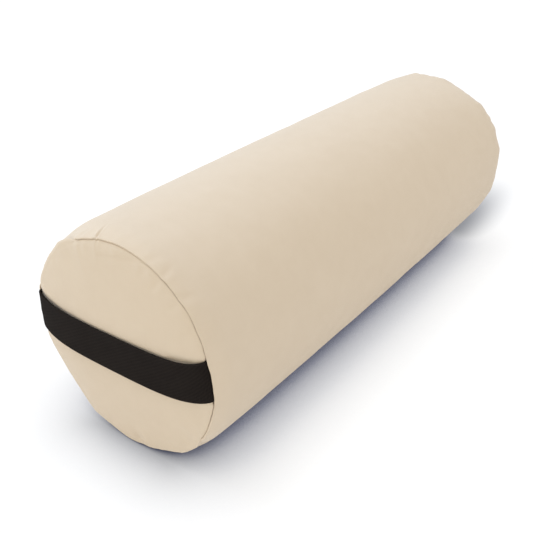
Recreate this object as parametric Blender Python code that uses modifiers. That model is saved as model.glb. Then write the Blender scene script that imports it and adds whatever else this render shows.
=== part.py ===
# Round yoga bolster: a zipped canvas cover with a webbing strap across each end,
# over a sewn inner case that holds a roll of cotton batting.
# Metres, +Z up. The bolster lies along X on its flattened underside, at Z = 0.
# "Front" is the end at -X and "rear" the end at +X.

from math import asin, atan2, cos, hypot, pi, radians, sin, sqrt

import bmesh
import bpy
from mathutils import Matrix, Vector

# Overall form
LENGTH = 0.6096            # from end seam to end seam, 24 in
RADIUS = 0.1143            # of the round section before it settles, 9 in across
SETTLE = 0.0102            # share by which its own weight widens and lowers the section
FLAT_DEPTH = 0.0034        # how far the underside is pressed flat
FLAT_SNAP = 0.0013         # skin this close to the floor settles on to it
CROWN = 0.0027             # how much slimmer the ends are than the middle
DRAW_IN = 0.0040           # how far the end seam pulls the wall in
DRAW_LENGTH = 0.0208       # length of wall that the end seam pulls in
END_DOME = 0.0070          # how far an end panel swells out of its seam
DOME_POWER = 2.6           # how flat the swelling's middle is
DOME_SHARES = (0, 0.4, 0.7, 0.9)  # where its rings of points lie
FLOOR_HOLD = radians(17)   # the floor keeps the wall straight this far to either side
FLOOR_FADE = radians(45)   # and lets it go over this much more
STEPS = 44                 # facets round every turned piece, a multiple of four
WELD = 0.000001            # points this close are one
SMOOTH = radians(35)       # faces that meet at less than this are shaded as one

# Cloth
CANVAS = 0.0008            # thickness of the cover's canvas
CASE_CLOTH = 0.0006        # thickness of the inner case's cotton
FIT = 0.0003               # gap between pieces that touch
TUBE_FOLD = 0.0010         # radius of the tube's folded edge at an end seam
PANEL_FOLD = 0.0012        # radius of an end panel's folded edge
ALLOWANCE = 0.012          # seam allowance turned into the cover
CASE_ALLOWANCE = 0.008     # seam allowance turned into the inner case
CASE_SHOULDER = 0.0105     # length over which the inner case rounds in at its ends

# Carrying straps
STRAP_STATIONS = 38        # cells along the webbing, with one for each tail
STRAP_ROWS = 4
STRAP_WIDTH = 0.038        # webbing, 1.5 in
STRAP_THICKNESS = 0.0018
STRAP_STAND = 0.0095       # how far the webbing's middle stands off the end seam's plane
STRAP_TILT = 0.0010        # how much further out its lower edge stands
STRAP_BOW = 2.8            # how squarely it rises out of the seam: 2 is an ellipse
STRAP_RISE_LEFT = 0.0045   # height of its +Y end above the bolster's axis
STRAP_RISE_RIGHT = 0.0119  # height of its -Y end above the axis
STRAP_LEAN = 0.0024        # how far it runs down towards its +Y end and up towards the other
STRAP_TURN_UP = 5          # how late its ends turn up to the seam: 1 is at a steady rate
STRAP_TAIL = 0.010         # length sewn into the seam at each end
STRAP_CLEARANCE = 0.00065  # either side of a tail in its curved seam
STRAP_DIP_FADE = 1.5       # facets over which the end panel's edge dips beside a tail

# Zip, on the side away from the front view, where the wall is kept straight
ZIP_STATION = 3            # facets above the +Y side
ZIP_HOLD = 1.1             # facets to either side that the tape keeps straight
ZIP_FADE = radians(60)
ZIP_MARGIN = 0.0448        # from each end seam to the zip's slot
ZIP_SLOT_WIDTH = 0.0112
TAPE_WIDTH = 0.0142        # each half of the zip tape
TAPE_THICKNESS = 0.0006
TEETH_GAP = 0.0016         # between the two halves, where the slider's wedge runs
TEETH_WIDTH = 0.0026       # each row
TEETH_HEIGHT = 0.0016
TEETH_ROUND = 0.0004
STOP_LENGTH = 0.0026
STOP_HEIGHT = 0.0021
STOP_ROUND = 0.0004
END_TAB_LENGTH = 0.018     # canvas tab that closes each end of the zip
END_TAB_LAP = 0.006        # how much of it shows in the slot
SLIDER_LENGTH = 0.0110
SLIDER_PLATE = 0.0010
SLIDER_CLEARANCE = 0.0004  # round the teeth
SLIDER_SIDE = 0.0008
SLIDER_ROUND = 0.00025
WEDGE_WIDTH = 0.0008
WEDGE_LENGTH = 0.0030
BRIDGE_LENGTH = 0.0070
BRIDGE_WIDTH = 0.0016
BRIDGE_THICKNESS = 0.0009
BRIDGE_ROUND = 0.00045
PULL_PIN_RADIUS = 0.0006
PULL_LENGTH = 0.0240
PULL_WIDTH = 0.0056
PULL_THICKNESS = 0.0010
PULL_RAIL = 0.0012
PULL_TIP_ROUND = 0.0022
RECESS_FADE = 1.9          # facets over which the inner case gives way to the slider

# Filling
BATTING_TURNS = 8
BATTING_HEART = 0.0020     # radius of the hollow at the roll's heart
BATTING_TAIL = 0.0012      # thickness that the last turn thins out to

# What follows from these
WIDE = 1 + SETTLE
LOW = 1 - SETTLE
HALF = LENGTH / 2
AXIS_HEIGHT = RADIUS * LOW - FLAT_DEPTH
STEP = 2 * pi / STEPS
ZIP_ANGLE = ZIP_STATION * STEP


def apart(angle, other):
    """The angle between two directions round the section."""
    return abs((angle - other + pi) % (2 * pi) - pi)


def window(offset, full, fade):
    """1 within full of the middle, falling smoothly to 0 over fade."""
    share = min(max((offset - full) / fade, 0.0), 1.0)
    return 0.5 + 0.5 * cos(pi * share)


def crown_drop(x):
    return CROWN * (x / HALF) ** 2


def seam_pull(x):
    """0 over the body of the wall, rising to 1 at the end seam."""
    return max(0.0, 1 - (HALF - abs(x)) / DRAW_LENGTH) ** 2


def wall_radius(x):
    return RADIUS - crown_drop(x) - DRAW_IN * seam_pull(x)


def held_straight(angle):
    """The zip tape and the floor keep the wall straight along them."""
    at_zip = window(apart(angle, ZIP_ANGLE), ZIP_HOLD * STEP, ZIP_FADE)
    at_floor = window(apart(angle, -pi / 2), FLOOR_HOLD, FLOOR_FADE)
    return at_zip + at_floor


def settle(x, radius, angle, depth=None):
    """Where a point of the round section comes to rest. On the wall, depth is how far it lies
    under the cover's skin, and the underside is pressed flat."""
    if depth is not None:
        radius += crown_drop(x) * held_straight(angle) * (1 - seam_pull(x))
    y = radius * WIDE * cos(angle)
    z = AXIS_HEIGHT + radius * LOW * sin(angle)
    if depth is not None and z < depth + FLAT_SNAP:
        z = depth
    return Vector((x, y, z))


# End seam, from the tube inwards
FOLD_CENTRE = wall_radius(HALF - TUBE_FOLD) - TUBE_FOLD
TUBE_LIP = FOLD_CENTRE - TUBE_FOLD
PANEL_LIP = TUBE_LIP - FIT
PANEL_FACE = PANEL_LIP - PANEL_FOLD
STRAP_SEAM = TUBE_LIP - STRAP_CLEARANCE - STRAP_THICKNESS / 2
STRAP_DIP = 2 * STRAP_CLEARANCE + STRAP_THICKNESS - FIT
STRAP_HALF_ANGLE = asin(STRAP_WIDTH / 2 / STRAP_SEAM)
STRAP_ANGLES = (asin(STRAP_RISE_LEFT / STRAP_SEAM), pi - asin(STRAP_RISE_RIGHT / STRAP_SEAM))

# Inner case, under the cover
CASE_DEPTH = CANVAS + FIT
CASE_NECK = PANEL_LIP - STRAP_DIP - CANVAS - FIT
CASE_NECK_END = ALLOWANCE + STRAP_TAIL / 2
CASE_FULL = CASE_NECK_END + CASE_SHOULDER
CASE_PANEL_BACK = CANVAS + FIT + CASE_CLOTH
CASE_END = CASE_PANEL_BACK + FIT
DOME_STATIONS = [share * CASE_NECK for share in DOME_SHARES]

# Batting, in the case
BATTING_DEPTH = CASE_DEPTH + CASE_CLOTH + FIT
ROUND_RADIUS = CASE_NECK - CASE_CLOTH - FIT
ROUND_FACE = CASE_END + CASE_CLOTH + FIT
ROUND_BACK = CASE_FULL + FIT

# Zip heights over the skin at the zip's line
TAPE_FACE = -(CANVAS + FIT)
TEETH_FOOT = TAPE_FACE + FIT
TEETH_TOP = TEETH_FOOT + TEETH_HEIGHT
PLATE_FOOT = TEETH_TOP + FIT
PLATE_TOP = PLATE_FOOT + SLIDER_PLATE
PULL_AXIS = PLATE_TOP + SLIDER_CLEARANCE + PULL_PIN_RADIUS
BRIDGE_INSIDE = PULL_AXIS + PULL_PIN_RADIUS + SLIDER_CLEARANCE
TEETH_EDGE = TEETH_GAP / 2 + TEETH_WIDTH
SLIDER_HALF_WIDTH = TEETH_EDGE + SLIDER_CLEARANCE + SLIDER_SIDE
STOP_TOP = TEETH_FOOT + STOP_HEIGHT
PULL_DROOP = asin((PULL_AXIS - PULL_THICKNESS / 2 - STOP_TOP - FIT) / PULL_LENGTH)

# Zip places along X
SLOT_HALF = HALF - ZIP_MARGIN
TAPE_HALF = SLOT_HALF - END_TAB_LAP
TEETH_HALF = TAPE_HALF - STOP_LENGTH - 2 * FIT
SLIDER_REST = -(TEETH_HALF - SLIDER_LENGTH / 2)


def zip_frame():
    """The zip's own axes: X along it, Z out of the wall, with the origin on the skin."""
    here = settle(0, RADIUS, ZIP_ANGLE, 0)
    below = settle(0, RADIUS, ZIP_ANGLE - STEP, 0)
    above = settle(0, RADIUS, ZIP_ANGLE + STEP, 0)
    down = (below - above).normalized()
    out = Vector((1, 0, 0)).cross(down)
    slope = asin((here - below).normalized().dot(out))
    turn = Matrix(((1, 0, 0), (0, down.y, out.y), (0, down.z, out.z)))
    return Matrix.Translation(here) @ turn.to_4x4(), slope


ZIP_FRAME, TAPE_SLOPE = zip_frame()

# The slider's lower plate runs under the sloping tape, and the case gives way to it
LOWER_TOP = TAPE_FACE - TAPE_THICKNESS - SLIDER_HALF_WIDTH * sin(TAPE_SLOPE) - FIT
LOWER_FOOT = LOWER_TOP - SLIDER_PLATE
ZIP_RECESS = -LOWER_FOOT + 2 * FIT - CASE_DEPTH


for leftover in list(bpy.data.objects):
    bpy.data.objects.remove(leftover, do_unlink=True)

parts = bpy.data.collections.new("round_yoga_bolster")
bpy.context.scene.collection.children.link(parts)
cutters = bpy.data.collections.new("cutters")
cutters.hide_render = True
bpy.context.scene.collection.children.link(cutters)


def finish(name, colour, roughness, metallic=0.0):
    material = bpy.data.materials.new(name)
    material.use_nodes = True
    material.diffuse_color = (*colour, 1)
    shader = material.node_tree.nodes["Principled BSDF"]
    shader.inputs["Base Color"].default_value = (*colour, 1)
    shader.inputs["Roughness"].default_value = roughness
    shader.inputs["Metallic"].default_value = metallic
    return material


CANVAS_FINISH = finish("natural_canvas", (0.665, 0.546, 0.407), 0.9)
WEBBING_FINISH = finish("black_webbing", (0.021, 0.017, 0.014), 0.8)
TAPE_FINISH = finish("zip_tape", (0.58, 0.47, 0.35), 0.85)
TEETH_FINISH = finish("zip_teeth", (0.55, 0.44, 0.32), 0.4)
METAL_FINISH = finish("zip_metal", (0.60, 0.57, 0.52), 0.35, 1.0)
CASE_FINISH = finish("case_cotton", (0.80, 0.78, 0.72), 0.9)
BATTING_FINISH = finish("cotton_batting", (0.86, 0.84, 0.80), 1.0)


def add(name, bm, material, into=parts):
    """A new object from this mesh, with its faces pointing out."""
    bmesh.ops.recalc_face_normals(bm, faces=bm.faces)
    mesh = bpy.data.meshes.new(name)
    bm.to_mesh(mesh)
    bm.free()
    thing = bpy.data.objects.new(name, mesh)
    into.objects.link(thing)
    if material:
        mesh.materials.append(material)
        mesh.shade_smooth()
        mesh.set_sharp_from_angle(angle=SMOOTH)
    else:
        thing.hide_render = True
        thing.display_type = "WIRE"
    return thing


def turn(profile, place):
    """A profile of (x, radius, depth) turned about X, each point then put in its place."""
    bm = bmesh.new()
    depth_layer = bm.verts.layers.float.new("depth")
    points = []
    for x, radius, depth in profile:
        point = bm.verts.new((x, radius, 0))
        point[depth_layer] = -1 if depth is None else depth
        points.append(point)
    edges = [bm.edges.new(pair) for pair in zip(points, points[1:])]
    bmesh.ops.spin(bm, geom=points + edges, axis=(1, 0, 0), cent=(0, 0, 0), angle=2 * pi,
                   steps=STEPS, use_merge=True)
    bmesh.ops.remove_doubles(bm, verts=bm.verts, dist=WELD)
    for point in bm.verts:
        x, y, z = point.co
        depth = point[depth_layer]
        point.co = place(x, hypot(y, z), atan2(z, y), None if depth < 0 else depth)
    return bm


def wall(from_seam, depth):
    """A profile point on the wall, depth under the skin."""
    x = -(HALF - from_seam)
    return x, wall_radius(x) - depth, depth


def inside(from_seam, radius):
    """A profile point that isn't on the wall."""
    return -(HALF - from_seam), radius, None


def mirror_along_x(thing):
    modifier = thing.modifiers.new("other_end", "MIRROR")
    modifier.use_axis = (True, False, False)
    modifier.merge_threshold = WELD


def cut(thing, cutter, name):
    modifier = thing.modifiers.new(name, "BOOLEAN")
    modifier.operation = "DIFFERENCE"
    modifier.solver = "EXACT"
    modifier.object = cutter


def join(thing, other, name):
    modifier = thing.modifiers.new(name, "BOOLEAN")
    modifier.operation = "UNION"
    modifier.solver = "EXACT"
    modifier.object = other


def box(name, low, high, material, into=parts):
    """A box between two corners, on its own origin."""
    low, high = Vector(low), Vector(high)
    bm = bmesh.new()
    size = high - low
    placing = Matrix.Translation((low + high) / 2) @ Matrix.Diagonal((*size, 1))
    bmesh.ops.create_cube(bm, size=1, matrix=placing)
    return add(name, bm, material, into)


def bevel(thing, width, segments=2):
    modifier = thing.modifiers.new("soft_edges", "BEVEL")
    modifier.width = width
    modifier.segments = segments
    modifier.limit_method = "ANGLE"


# Cover

def wall_stations():
    """From the middle of the wall to where the end seam starts to pull it in."""
    return HALF, HALF / 2, DRAW_LENGTH, DRAW_LENGTH / 2


def cover_tube():
    """The long wall, with its edges folded in at both end seams and a slot for the zip."""
    skin = [wall(station, 0) for station in wall_stations()]
    fold = [inside(TUBE_FOLD, FOLD_CENTRE + TUBE_FOLD), inside(0, FOLD_CENTRE),
            inside(TUBE_FOLD, TUBE_LIP)]
    lip = [inside(ALLOWANCE, TUBE_LIP), inside(ALLOWANCE, TUBE_LIP + CANVAS)]
    back = [inside(TUBE_FOLD, TUBE_LIP + CANVAS),
            inside(TUBE_FOLD, FOLD_CENTRE + TUBE_FOLD - CANVAS)]
    lining = [wall(station, CANVAS) for station in reversed(wall_stations())]
    tube = add("cover_tube", turn(skin + fold + lip + back + lining, settle), CANVAS_FINISH)
    mirror_along_x(tube)
    half_width, reach = ZIP_SLOT_WIDTH / 2, 4 * CANVAS
    slot = box("zip_slot_cutter", (-SLOT_HALF, -half_width, -reach),
               (SLOT_HALF, half_width, reach), None, cutters)
    slot.matrix_world = ZIP_FRAME
    cut(tube, slot, "zip_slot")


def domed(behind, stations=DOME_STATIONS):
    """A domed face from its middle outwards, this far behind the end panel's own."""
    return [inside(behind - END_DOME * (1 - (radius / PANEL_FACE) ** DOME_POWER), radius)
            for radius in stations]


def end_panel(name, side):
    """A round end: domed, with its edge folded in, which dips where the strap's tails pass."""
    corner = PANEL_FOLD * (1 - sqrt(0.5))
    rim = [inside(0, PANEL_FACE), inside(corner, PANEL_LIP - corner),
           inside(PANEL_FOLD, PANEL_LIP), inside(ALLOWANCE, PANEL_LIP),
           inside(ALLOWANCE, PANEL_LIP - CANVAS), inside(PANEL_FOLD, PANEL_LIP - CANVAS),
           inside(CANVAS, PANEL_FACE)]

    def place(x, radius, angle, depth):
        if radius > DOME_STATIONS[-1] + FIT:
            radius -= STRAP_DIP * max(
                window(apart(angle, middle), STRAP_HALF_ANGLE + STEP, STRAP_DIP_FADE * STEP)
                for middle in STRAP_ANGLES)
        return settle(-side * x, radius, angle, depth)

    add(name, turn(domed(0) + rim + domed(CANVAS)[::-1], place), CANVAS_FINISH)


# Carrying straps

def strap_end(height, sign):
    """Where the webbing leaves the end seam, which is curved, at this height."""
    across = STRAP_SEAM ** 2 - ((height - AXIS_HEIGHT) / LOW) ** 2
    return sign * WIDE * sqrt(across)


def strap_point(along, across):
    """along runs from -1 at the +Y end to 1 at the -Y end, and past them for the sewn tails;
    across runs from -1 at the lower edge to 1 at the upper."""
    sign, end_rise = (1, STRAP_RISE_LEFT) if along < 0 else (-1, STRAP_RISE_RIGHT)
    edge = across * STRAP_WIDTH / 2
    if abs(along) > 1:
        height = AXIS_HEIGHT + end_rise + edge
        return Vector((-STRAP_TAIL * (abs(along) - 1), strap_end(height, sign), height))
    swing = (1 - abs(along)) * pi / 2
    reach = cos(swing) ** (2 / STRAP_BOW)
    rise = -sign * STRAP_LEAN * reach
    height = AXIS_HEIGHT + rise + (end_rise - rise) * reach ** STRAP_TURN_UP + edge
    stand = STRAP_STAND - across * STRAP_TILT / 2
    return Vector((stand * sin(swing), reach * strap_end(height, sign), height))


def carry_strap(name, side):
    """A length of webbing across the end, with both tails sewn into the seam."""
    cell = 2 / STRAP_STATIONS
    bm = bmesh.new()
    bmesh.ops.create_grid(bm, x_segments=STRAP_STATIONS, y_segments=STRAP_ROWS, size=1)
    for point in bm.verts:
        along = min(max(point.co.x / (1 - cell), -1), 1)
        if abs(point.co.x) > 1 - cell / 2:
            along *= 2
        place = strap_point(along, point.co.y)
        point.co = Vector((side * (HALF + place.x), place.y, place.z))
    strap = add(name, bm, WEBBING_FINISH)
    skin = strap.modifiers.new("webbing", "SOLIDIFY")
    skin.thickness = STRAP_THICKNESS
    skin.offset = 0
    skin.use_even_offset = True


# Zip

def zip_box(name, low, high, material, tilt=0.0):
    """A box in the zip's own axes, turned by tilt about the zip's line."""
    thing = box(name, low, high, material)
    thing.parent = zip_line
    thing.rotation_euler.x = tilt
    return thing


def zip_side(sign):
    return "lower" if sign > 0 else "upper"


def zip_tape(sign):
    """Half the tape, flat against the facet of wall that it is sewn to."""
    inner, outer = sorted((sign * TEETH_GAP / 2, sign * (TEETH_GAP / 2 + TAPE_WIDTH)))
    zip_box("zip_tape_" + zip_side(sign), (-TAPE_HALF, inner, TAPE_FACE - TAPE_THICKNESS),
            (TAPE_HALF, outer, TAPE_FACE), TAPE_FINISH, -sign * TAPE_SLOPE)


def zip_teeth(sign):
    """One row of teeth, as the bar that they fill."""
    inner, outer = sorted((sign * TEETH_GAP / 2, sign * TEETH_EDGE))
    row = zip_box("zip_teeth_" + zip_side(sign), (-TEETH_HALF, inner, TEETH_FOOT),
                  (TEETH_HALF, outer, TEETH_TOP), TEETH_FINISH, -sign * TAPE_SLOPE)
    bevel(row, TEETH_ROUND)


def zip_top_stop(sign):
    inner, outer = sorted((sign * TEETH_GAP / 2, sign * TEETH_EDGE))
    stop = zip_box("zip_top_stop_" + zip_side(sign),
                   (-TEETH_HALF - FIT - STOP_LENGTH, inner, TEETH_FOOT),
                   (-TEETH_HALF - FIT, outer, STOP_TOP), METAL_FINISH,
                   -sign * TAPE_SLOPE)
    bevel(stop, STOP_ROUND)


def zip_bottom_stop():
    """One clamp across both tapes at the zip's rear end."""
    stop = zip_box("zip_bottom_stop", (TEETH_HALF + FIT, -TEETH_EDGE, TEETH_FOOT),
                   (TEETH_HALF + FIT + STOP_LENGTH, TEETH_EDGE, STOP_TOP), METAL_FINISH)
    bevel(stop, STOP_ROUND)


def zip_end_tab(name, side):
    """Canvas across the tapes' ends, ridged like the two facets of wall that it lies under."""
    bm = bmesh.new()
    bmesh.ops.create_grid(bm, x_segments=1, y_segments=2, size=0.5)
    half_width = TEETH_GAP / 2 + TAPE_WIDTH
    for point in bm.verts:
        across = 2 * half_width * point.co.y
        along = TAPE_HALF + FIT + (point.co.x + 0.5) * END_TAB_LENGTH
        point.co = (side * along, across, TAPE_FACE - abs(across) * sin(TAPE_SLOPE))
    tab = add(name, bm, CANVAS_FINISH)
    tab.parent = zip_line
    skin = tab.modifiers.new("canvas", "SOLIDIFY")
    skin.thickness = CANVAS
    skin.offset = -1 if tab.data.polygons[0].normal.z > 0 else 1


def zip_slider():
    """Two plates round the teeth, joined by the wedge at the front, with the pull's bridge."""
    half, width = SLIDER_LENGTH / 2, SLIDER_HALF_WIDTH
    side_foot = TAPE_FACE - width * sin(TAPE_SLOPE) + FIT
    slider = box("zip_slider", (-half, -width, PLATE_FOOT), (half, width, PLATE_TOP), METAL_FINISH)
    bevel(slider, SLIDER_ROUND)
    for sign in (1, -1):
        inner, outer = sorted((sign * (width - SLIDER_SIDE), sign * width))
        flange = box("slider_side_" + zip_side(sign), (-half + SLIDER_PLATE, inner, side_foot),
                     (half - SLIDER_PLATE, outer, PLATE_FOOT + SLIDER_PLATE / 2), None, cutters)
        join(slider, flange, "side_" + zip_side(sign))
        flange.parent = slider
    wedge_end = -half + SLIDER_PLATE
    wedge = box("slider_wedge", (wedge_end, -WEDGE_WIDTH / 2, LOWER_FOOT + SLIDER_PLATE / 2),
                (wedge_end + WEDGE_LENGTH, WEDGE_WIDTH / 2, PLATE_FOOT + SLIDER_PLATE / 2),
                None, cutters)
    lower = box("slider_lower_plate", (-half, -width + SLIDER_SIDE / 2, LOWER_FOOT),
                (half, width - SLIDER_SIDE / 2, LOWER_TOP), None, cutters)
    bridge = box("slider_bridge", (-BRIDGE_LENGTH / 2, -BRIDGE_WIDTH / 2, PLATE_TOP - SLIDER_PLATE / 2),
                 (BRIDGE_LENGTH / 2, BRIDGE_WIDTH / 2, BRIDGE_INSIDE + BRIDGE_THICKNESS),
                 None, cutters)
    bevel(bridge, BRIDGE_ROUND)
    reach = BRIDGE_LENGTH / 2 - BRIDGE_THICKNESS
    eye = box("slider_eye", (-reach, -BRIDGE_WIDTH, PLATE_TOP), (reach, BRIDGE_WIDTH, BRIDGE_INSIDE),
              None, cutters)
    for thing, name in ((wedge, "wedge"), (lower, "lower_plate"), (bridge, "bridge")):
        join(slider, thing, name)
        thing.parent = slider
    cut(slider, eye, "eye")
    eye.parent = slider
    slider.parent = zip_line
    slider.location.x = SLIDER_REST
    return slider


def zip_pull(slider):
    """The pull: a plate on two rails that hold a round pin under the slider's bridge."""
    half = PULL_WIDTH / 2
    window_end = BRIDGE_LENGTH / 2 + BRIDGE_THICKNESS + SLIDER_CLEARANCE
    pull = box("zip_pull", (0, -half, -PULL_THICKNESS / 2), (PULL_LENGTH, half, PULL_THICKNESS / 2),
               METAL_FINISH)
    bm = bmesh.new()
    bm.from_mesh(pull.data)
    tip = [edge for edge in bm.edges
           if all(abs(point.co.x - PULL_LENGTH) < FIT for point in edge.verts)
           and abs(edge.verts[0].co.z - edge.verts[1].co.z) > FIT]
    bmesh.ops.bevel(bm, geom=tip, offset=PULL_TIP_ROUND, segments=4, profile=0.5,
                    affect="EDGES")
    bm.to_mesh(pull.data)
    bm.free()
    opening = box("pull_window_cutter", (-PULL_THICKNESS, -half + PULL_RAIL, -PULL_THICKNESS),
                  (window_end, half - PULL_RAIL, PULL_THICKNESS), None, cutters)
    cut(pull, opening, "window")
    bm = bmesh.new()
    along_y = Matrix.Rotation(pi / 2, 4, "X")
    bmesh.ops.create_cone(bm, cap_ends=True, segments=16, radius1=PULL_PIN_RADIUS,
                          radius2=PULL_PIN_RADIUS, depth=PULL_WIDTH, matrix=along_y)
    pin = add("pull_pin", bm, None, cutters)
    join(pull, pin, "pin")
    opening.parent = pull
    pin.parent = pull
    pull.parent = slider
    pull.location.z = PULL_AXIS
    pull.rotation_euler.y = PULL_DROOP


# Inner case

def case_recess(angle):
    """The case gives way to the slider along the zip."""
    share = apart(angle, ZIP_ANGLE) / (RECESS_FADE * STEP)
    return ZIP_RECESS * max(0.0, 1 - share ** 2) ** 2


def place_in_case(x, radius, angle, depth):
    if depth is not None:
        radius -= case_recess(angle)
    return settle(x, radius, angle, depth)


def case_tube():
    """The inner case's long wall, drawn in to a neck at each end."""
    full = [wall(station, CASE_DEPTH) for station in (HALF, HALF / 2, CASE_FULL)]
    neck = [inside(CASE_NECK_END, CASE_NECK), inside(CASE_END, CASE_NECK),
            inside(CASE_END, CASE_NECK - CASE_ALLOWANCE),
            inside(CASE_END + CASE_CLOTH, CASE_NECK - CASE_ALLOWANCE),
            inside(CASE_END + CASE_CLOTH, CASE_NECK - CASE_CLOTH),
            inside(CASE_NECK_END, CASE_NECK - CASE_CLOTH)]
    lining = [wall(station, CASE_DEPTH + CASE_CLOTH) for station in (CASE_FULL, HALF / 2, HALF)]
    tube = add("case_tube", turn(full + neck + lining, place_in_case), CASE_FINISH)
    mirror_along_x(tube)


def case_end(name, side):
    """A round end of the inner case, which follows the cover's end from behind."""
    rim = [inside(CASE_PANEL_BACK - CASE_CLOTH, CASE_NECK), inside(CASE_PANEL_BACK, CASE_NECK)]

    def place(x, radius, angle, depth):
        return settle(-side * x, radius, angle, depth)

    profile = domed(CASE_PANEL_BACK - CASE_CLOTH) + rim + domed(CASE_PANEL_BACK)[::-1]
    add(name, turn(profile, place), CASE_FINISH)


# Filling

def batting_round(name, side):
    """A cut round of batting that fills out a domed end."""
    face = domed(CASE_PANEL_BACK + FIT, DOME_STATIONS[:-1])
    rim = [inside(ROUND_FACE, DOME_STATIONS[-1] - CASE_CLOTH), inside(ROUND_FACE, ROUND_RADIUS),
           inside(CASE_NECK_END + FIT, ROUND_RADIUS), wall(ROUND_BACK, BATTING_DEPTH),
           inside(ROUND_BACK, 0)]

    def place(x, radius, angle, depth):
        return place_in_case(-side * x, radius, angle, depth)

    add(name, turn(face + rim, place), BATTING_FINISH)


def batting_roll():
    """A length of batting rolled up, with its last turn thinned out where it ends, at the zip."""
    steps_a_turn = STEPS // 2
    steps = BATTING_TURNS * steps_a_turn
    end = HALF - ROUND_BACK - FIT
    outside = RADIUS - BATTING_DEPTH
    pitch = (outside - BATTING_HEART - BATTING_TAIL) / BATTING_TURNS
    bm = bmesh.new()
    bmesh.ops.create_grid(bm, x_segments=steps, y_segments=1, size=0.5)
    grown = bmesh.ops.extrude_face_region(bm, geom=bm.faces[:])["geom"]
    for point in grown:
        if isinstance(point, bmesh.types.BMVert):
            point.co.z = 1
    bmesh.ops.bisect_plane(bm, geom=bm.verts[:] + bm.edges[:] + bm.faces[:],
                           plane_co=(0, 0, 0.5), plane_no=(0, 0, 1))
    for point in bm.verts:
        turns = BATTING_TURNS * (point.co.x + 0.5)
        inner = BATTING_HEART + pitch * turns
        outer = min(inner + pitch - FIT, outside)
        radius = inner if point.co.y < 0 else outer
        x = (2 * point.co.z - 1) * end
        share = radius / outside
        angle = ZIP_ANGLE + 2 * pi * turns
        rim = place_in_case(x, wall_radius(x) - BATTING_DEPTH, angle, BATTING_DEPTH)
        middle = Vector((x, 0, AXIS_HEIGHT))
        point.co = middle.lerp(rim, share)
    add("batting_roll", bm, BATTING_FINISH)


cover_tube()
end_panel("front_end_panel", -1)
end_panel("rear_end_panel", 1)
carry_strap("front_carry_strap", -1)
carry_strap("rear_carry_strap", 1)

zip_line = bpy.data.objects.new("zip_line", None)
zip_line.matrix_world = ZIP_FRAME
parts.objects.link(zip_line)
for half in (1, -1):
    zip_tape(half)
    zip_teeth(half)
    zip_top_stop(half)
zip_bottom_stop()
zip_end_tab("zip_front_tab", -1)
zip_end_tab("zip_rear_tab", 1)
zip_pull(zip_slider())

case_tube()
case_end("case_front_end", -1)
case_end("case_rear_end", 1)
batting_round("batting_front_round", -1)
batting_round("batting_rear_round", 1)
batting_roll()
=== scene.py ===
# Round yoga bolster: a canvas cover with a webbing carry strap across each end and a zip
# along the back, over a cotton case with rolled batting. Metres, +Z up, lying along X.

from bisect import bisect_left
from math import asin, atan2, copysign, cos, exp, hypot, pi, radians, sin, sqrt

import bmesh
import bpy
from mathutils import Matrix, Vector, noise


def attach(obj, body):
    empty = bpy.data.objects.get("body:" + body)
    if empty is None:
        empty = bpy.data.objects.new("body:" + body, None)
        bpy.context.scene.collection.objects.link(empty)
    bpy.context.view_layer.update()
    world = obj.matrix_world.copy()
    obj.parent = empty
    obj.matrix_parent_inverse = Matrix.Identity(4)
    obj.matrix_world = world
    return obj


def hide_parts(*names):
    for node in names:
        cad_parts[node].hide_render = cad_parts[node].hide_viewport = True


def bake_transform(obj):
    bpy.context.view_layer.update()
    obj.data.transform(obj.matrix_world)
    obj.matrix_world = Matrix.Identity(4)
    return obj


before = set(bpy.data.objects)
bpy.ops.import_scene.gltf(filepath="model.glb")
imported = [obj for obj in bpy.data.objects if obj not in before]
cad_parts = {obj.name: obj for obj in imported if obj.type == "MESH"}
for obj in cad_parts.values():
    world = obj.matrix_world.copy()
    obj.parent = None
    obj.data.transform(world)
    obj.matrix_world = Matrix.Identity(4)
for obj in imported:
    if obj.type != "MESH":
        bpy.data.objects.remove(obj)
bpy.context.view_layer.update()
print("solids loaded")


# The bolster's form, as it lies at rest

facet = 2 * pi / 44            # the solids' wall has 44, and the zip lies where two of them meet
bolster = {
    "length": 0.6096,          # between the end seams
    "radius": 0.1143,
    "settle": 0.0102,          # its own weight widens and lowers it by this share
    "flat": 0.0034,            # and presses its underside flat
    "flatBlend": 0.0012,
    "crown": 0.0027,           # the ends are this much slimmer than the middle
    "drawIn": 0.0046,          # and their seams pull the wall in
    "drawLength": 0.0208,
    "dome": 0.0070,            # the ends swell out of their seams
    "domePower": 2.6,
    "shoulder": 0.0014,        # of which this much beside the seam
    "shoulderLength": 0.0028,
    "fold": 0.0010,            # radius of the cloth's fold at a seam
    "turnUnder": 0.006,
    "unevenness": 0.00065,     # the filling's lumps under the cloth
    "endUnevenness": 0.0006,
    "aroundSteps": 300,
    "slotHalfLength": 0.260,
    "slotHalfWidth": 0.0056,
    "slotFold": 0.0009,
    "slotHem": 0.004,          # of cloth turned under
}
zipAngle = 3 * facet
topstitch = {                  # sewn round the zip's slot
    "inset": 0.0030,
    "pitch": 0.0032,
    "length": 0.0023,
    "radius": 0.00022,
    "sink": 0.00030,
    "arch": 0.00034,
}
halfLength = bolster["length"] / 2
wide, low = 1 + bolster["settle"], 1 - bolster["settle"]
axisHeight = bolster["radius"] * low - bolster["flat"]

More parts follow.
